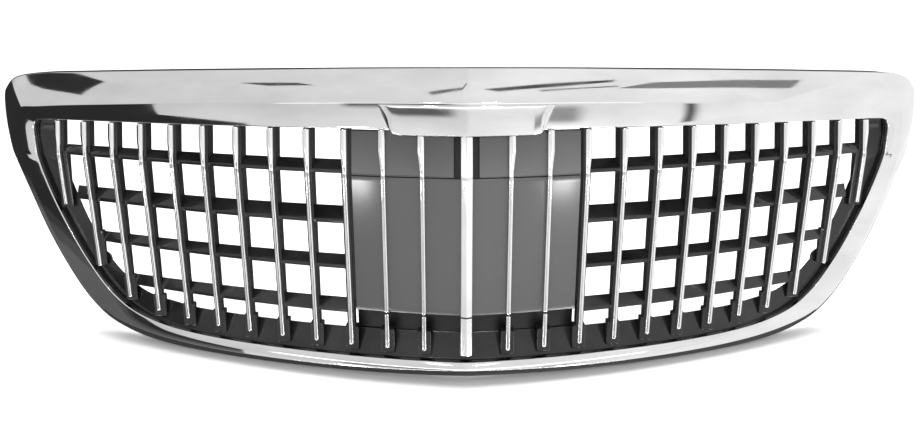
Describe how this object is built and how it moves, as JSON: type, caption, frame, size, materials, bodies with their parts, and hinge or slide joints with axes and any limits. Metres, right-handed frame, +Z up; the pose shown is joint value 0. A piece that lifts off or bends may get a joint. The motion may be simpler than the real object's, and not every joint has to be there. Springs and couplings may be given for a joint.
{
  "type": "front grille",
  "caption": "Swept-back vehicle front grille: a chromed surround with upright chromed bars over black louvres and a glossy centre cover.",
  "frame": {"origin": "midpoint between the two lower bracket holes, on the brackets' rear faces", "axes": "+X across the grille, +Y from its front to its back, +Z up"},
  "size_m": [0.981, 0.1942, 0.2862],
  "materials": {
    "surround_chrome": "polished chrome plate",
    "bar_chrome": "polished chrome plate",
    "insert_black": "gloss black moulding",
    "cover_gloss": "dark grey gloss",
    "bracket_steel": "zinc-plated steel"
  },
  "bodies": {
    "root": {"surround_frame": "surround_chrome", "nose_trim": "surround_chrome", "insert_border": "insert_black", "bar_sockets": "insert_black", "louvre_grid_left": "insert_black", "louvre_grid_right": "insert_black", "bar_left_3": "bar_chrome", "bar_left_4": "bar_chrome", "bar_left_5": "bar_chrome", "bar_left_6": "bar_chrome", "bar_left_7": "bar_chrome", "bar_left_8": "bar_chrome", "bar_left_9": "bar_chrome", "bar_left_10": "bar_chrome", "bar_left_11": "bar_chrome", "bar_left_12": "bar_chrome", "bar_right_3": "bar_chrome", "bar_right_4": "bar_chrome", "bar_right_5": "bar_chrome", "bar_right_6": "bar_chrome", "bar_right_7": "bar_chrome", "bar_right_8": "bar_chrome", "bar_right_9": "bar_chrome", "bar_right_10": "bar_chrome", "bar_right_11": "bar_chrome", "bar_right_12": "bar_chrome", "cover_strip_centre": "bar_chrome", "strip_foot_centre": "bar_chrome", "cover_strip_left_1": "bar_chrome", "cover_strip_left_2": "bar_chrome", "cover_strip_right_1": "bar_chrome", "cover_strip_right_2": "bar_chrome", "strip_foot_left_1": "bar_chrome", "strip_foot_left_2": "bar_chrome", "strip_foot_right_1": "bar_chrome", "strip_foot_right_2": "bar_chrome", "cover_pane_lower": "cover_gloss", "cover_pane_upper_left": "cover_gloss", "cover_pane_upper_right": "cover_gloss", "cover_carrier": "insert_black", "upper_bracket_left": "bracket_steel", "upper_bracket_right": "bracket_steel", "lower_bracket_left": "bracket_steel", "lower_bracket_right": "bracket_steel", "bracket_screws": "bracket_steel"}
  },
  "joints": []
}
